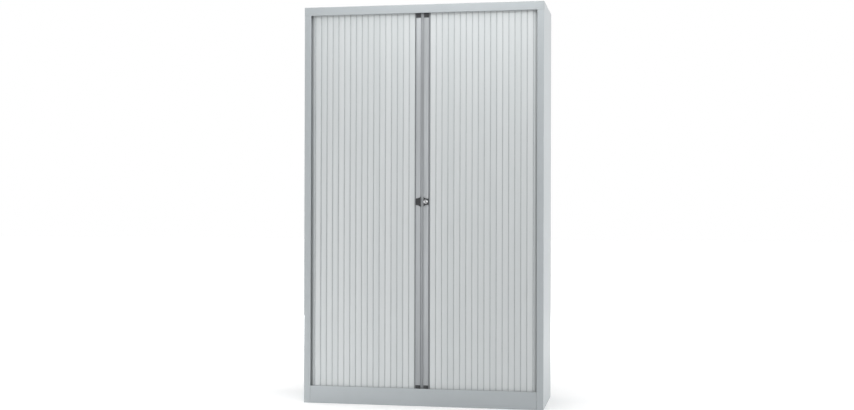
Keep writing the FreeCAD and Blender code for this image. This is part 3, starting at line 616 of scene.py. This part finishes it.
def turned_about_lock(mesh, profile):
    """Turns a profile of (radius, Y) points round the lock's axis."""
    line = [mesh.verts.new(LOCK_AT + Vector((radius, depth, 0))) for radius, depth in profile]
    edges = [mesh.edges.new(pair) for pair in zip(line, line[1:])]
    bmesh.ops.spin(mesh, geom=line + edges, cent=LOCK_AT, axis=(0, 1, 0), angle=2 * math.pi,
                   steps=LOCK_SIDES, use_merge=True)
    bmesh.ops.remove_doubles(mesh, verts=mesh.verts, dist=LOCK_MERGE)


def lock_barrel():
    """Bright collar with a rounded rim and a shallow hollow round the plug."""
    low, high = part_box("lock_barrel")
    mesh = bmesh.new()
    collar = [(radius, low.y + depth) for radius, depth in COLLAR]
    bore, barrel = (PLUG_BORE, high.y), (BARREL, high.y)
    turned_about_lock(mesh, [bore, *collar, barrel, bore])
    finish_piece("lock_collar", mesh, "lock_chrome", "right_shutter", "lock_barrel", smooth_angle=40)


# Carcass details

def slotted_upright(side, row, hand):
    """A shelf upright, folded from sheet, with its full row of clip slots."""
    node_name = f"{side}_{row}_upright"
    low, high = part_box(node_name)
    slot_wide, slot_high = CLIP_SLOT
    face_x = low.x if hand > 0 else high.x
    root_x = high.x if hand > 0 else low.x
    middle = (low.y + high.y) / 2
    mesh = bmesh.new()
    corners = [mesh.verts.new((face_x, y, z)) for y, z in
               ((low.y, low.z), (high.y, low.z), (high.y, high.z), (low.y, high.z))]
    mesh.faces.new(corners)
    cuts = [(Vector((0, middle + way * slot_wide / 2, 0)), Vector((0, 1, 0))) for way in (-1, 1)]
    levels = []
    level = low.z + SLOT_PITCH
    while level < high.z - SLOT_PITCH / 2:
        levels.append(level)
        level += SLOT_PITCH
    for level in levels:
        for way in (-1, 1):
            cuts.append((Vector((0, 0, level + way * slot_high / 2)), Vector((0, 0, 1))))
    for spot, normal in cuts:
        bmesh.ops.bisect_plane(mesh, geom=mesh.verts[:] + mesh.edges[:] + mesh.faces[:],
                               plane_co=spot, plane_no=normal)
    holes = []
    for face in mesh.faces:
        centre = face.calc_center_median()
        beside = abs(centre.y - middle) < slot_wide / 2
        if beside and any(abs(centre.z - level) < slot_high / 2 for level in levels):
            holes.append(face)
    bmesh.ops.delete(mesh, geom=holes, context="FACES")
    for y in (low.y, high.y):
        grown = bmesh.ops.extrude_edge_only(mesh, edges=edges_at(mesh, y))["geom"]
        far = [item for item in grown if isinstance(item, bmesh.types.BMVert)]
        bmesh.ops.translate(mesh, verts=far, vec=(root_x - face_x, 0, 0))
    bmesh.ops.remove_doubles(mesh, verts=mesh.verts, dist=TINY)
    bmesh.ops.recalc_face_normals(mesh, faces=mesh.faces)
    inwards = Vector((root_x - face_x, 0, 0)).normalized()
    sample = min(mesh.faces, key=lambda item: abs(item.calc_center_median().x - face_x))
    thickness = SHEET if sample.normal.dot(inwards) < 0 else -SHEET
    bmesh.ops.solidify(mesh, geom=mesh.faces[:], thickness=thickness)
    finish_piece(f"slotted_{node_name}", mesh, "inner_paint", "carcass", node_name)


# The photograph's view and light

# Each soft box: its place, the spot that it faces, its width and height (in metres), and its watts.
LAMPS = {
    "front_box": ((2.6, -7.4, 1.8), (0, 0, 1.0), (2.6, 2.6), 50),
    "left_box": ((-2.1, -4.9, 0.8), (-0.4, 0, 0.9), (1.0, 1.0), 31),
    "right_box": ((3.8, -4.4, 2.0), (0.2, 0, 1.0), (1.4, 1.4), 20),
    "top_strip_box": ((0.2, -0.95, 2.5), (0.1, -0.2, 1.7), (1.6, 0.4), 6.5),
    "overhead_box": ((0.4, -0.9, 4.6), (0, 0, 1.9), (2.0, 2.0), 60),
    "side_box": ((4.6, 0.6, 1.6), (0.6, 0, 1.0), (2.0, 2.0), 90),
    "left_side_box": ((-4.6, 1.2, 1.8), (-0.6, 0, 1.0), (2.0, 2.0), 90),
    "rear_box": ((-2.2, 4.4, 1.0), (0, 0, 1.0), (3.4, 1.8), 100),
    "low_left_box": ((-1.7, -2.3, 0.3), (-0.5, -0.2, -0.1), (0.5, 0.5), 0.5),
}
# A grid on a soft box keeps its light within so many degrees.
GRIDS = {"low_left_box": 40}
# The surroundings' strength as a light. Where they are seen they are white.
SURROUND = 0.25
# The floor glows less near the cabinet, so that its shadow shows there.
FLOOR_GLOW = (0.2, 0.75)
GLOW_REACH = (0.7, 2.6)
FLOOR_SIZE = 30
PHOTO_WIDTH = 854
FOCAL_PIXELS = 1183.5
CAMERA_AT = (1.0950, -5.9389, 0.9760)
CAMERA_YAW = 0.1846
CAMERA_PITCH = 0.0026
CAMERA_ROLL = 0.0023


def photograph_view():
    """A level view from the front, a little to the right of the cabinet."""
    lens = bpy.data.cameras.new("photograph_view")
    lens.sensor_width = 36
    lens.lens = FOCAL_PIXELS / PHOTO_WIDTH * lens.sensor_width
    camera = bpy.data.objects.new("photograph_view", lens)
    camera.matrix_world = (
        Matrix.Translation(CAMERA_AT) @ Matrix.Rotation(CAMERA_YAW, 4, "Z")
        @ Matrix.Rotation(math.pi / 2 + CAMERA_PITCH, 4, "X") @ Matrix.Rotation(CAMERA_ROLL, 4, "Z"))
    bpy.context.scene.collection.objects.link(camera)
    bpy.context.scene.camera = camera


def soft_lamp(name, at, towards, size, watts):
    """A flat soft box."""
    light = bpy.data.lights.new(name, "AREA")
    light.shape = "RECTANGLE"
    light.size, light.size_y = size
    light.energy = watts
    light.spread = math.radians(GRIDS.get(name, 180))
    lamp = bpy.data.objects.new(name, light)
    lamp.location = at
    aim = Vector(towards) - Vector(at)
    lamp.rotation_euler = aim.to_track_quat("-Z", "Y").to_euler()
    bpy.context.scene.collection.objects.link(lamp)


def seen_directly(material):
    """One where the eye sees the surface, straight or mirrored in metal, else nought."""
    path = node(material, "LightPath").outputs
    rays = {0: path["Is Camera Ray"], 1: path["Is Glossy Ray"]}
    first = node(material, "Math", rays, operation="MAXIMUM").outputs["Value"]
    rays = {0: first, 1: path["Is Transmission Ray"]}
    return node(material, "Math", rays, operation="MAXIMUM").outputs["Value"]


def white_world():
    """Plain studio surroundings that are white where they are seen."""
    world = bpy.data.worlds.new("studio")
    world.use_nodes = True
    background = world.node_tree.nodes["Background"]
    background.inputs["Color"].default_value = (1, 1, 1, 1)
    strength = spread(world, seen_directly(world), SURROUND, 1.0, 0, 1)
    world.node_tree.links.new(strength, background.inputs["Strength"])
    bpy.context.scene.world = world


def white_floor():
    """A floor that shows white, with only the cabinet's own shadow on it."""
    mesh = bmesh.new()
    bmesh.ops.create_grid(mesh, x_segments=1, y_segments=1, size=FLOOR_SIZE)
    data = bpy.data.meshes.new("studio_floor")
    mesh.to_mesh(data)
    mesh.free()
    floor = bpy.data.objects.new("studio_floor", data)
    bpy.context.scene.collection.objects.link(floor)
    material, shader = new_material("white_paper", Base_Color=linear("#F2F2F2"), Roughness=0.9)
    shader.inputs["Emission Color"].default_value = (1, 1, 1, 1)
    spot = node(material, "TexCoord").outputs["Object"]
    away = node(material, "VectorMath", {"Vector": spot}, operation="LENGTH").outputs["Value"]
    level = spread(material, away, *FLOOR_GLOW, *GLOW_REACH)
    glow = node(material, "Math", {0: seen_directly(material), 1: level}, operation="MULTIPLY")
    connect(material, shader, Emission_Strength=glow.outputs["Value"])
    data.materials.append(material)


def lights():
    """All the soft boxes."""
    for name, (at, towards, size, watts) in LAMPS.items():
        soft_lamp(name, at, towards, size, watts)


# Everything that keeps its CAD shape gets its finish by the record's slot.
for item in frame["record"]["subparts"]:
    materials = NODES[item["node"]].data.materials
    materials.clear()
    materials.append(FINISHES[item["material_slot"]])

for node_name in ("left_side_panel", "right_side_panel", "top_panel", "plinth"):
    folded_sheet(node_name, "carcass_paint")
fascia_ends()
for node_name in ("shelf_1", "shelf_2", "shelf_3", "shelf_4"):
    folded_sheet(node_name, "shelf_paint")
for side, hand in (("left", -1), ("right", 1)):
    curtain(side, hand)
    shutter = f"{side}_shutter"
    handle_bar(side)
    softened(f"{side}_lower_cap", "black_plastic", shutter, CAP_EDGE)
    softened(f"{side}_upper_cap", "black_plastic", shutter, CAP_EDGE)
    for row in ("front", "rear"):
        slotted_upright(side, row, hand)
finger_pull()
softened("lock_plate", "black_plastic", "right_shutter", PLATE_EDGE)
lock_barrel()
softened("lock_plug", "lock_chrome", "lock", PLUG_EDGE)

photograph_view()
white_world()
white_floor()
lights()
bpy.context.scene.view_settings.view_transform = "Standard"
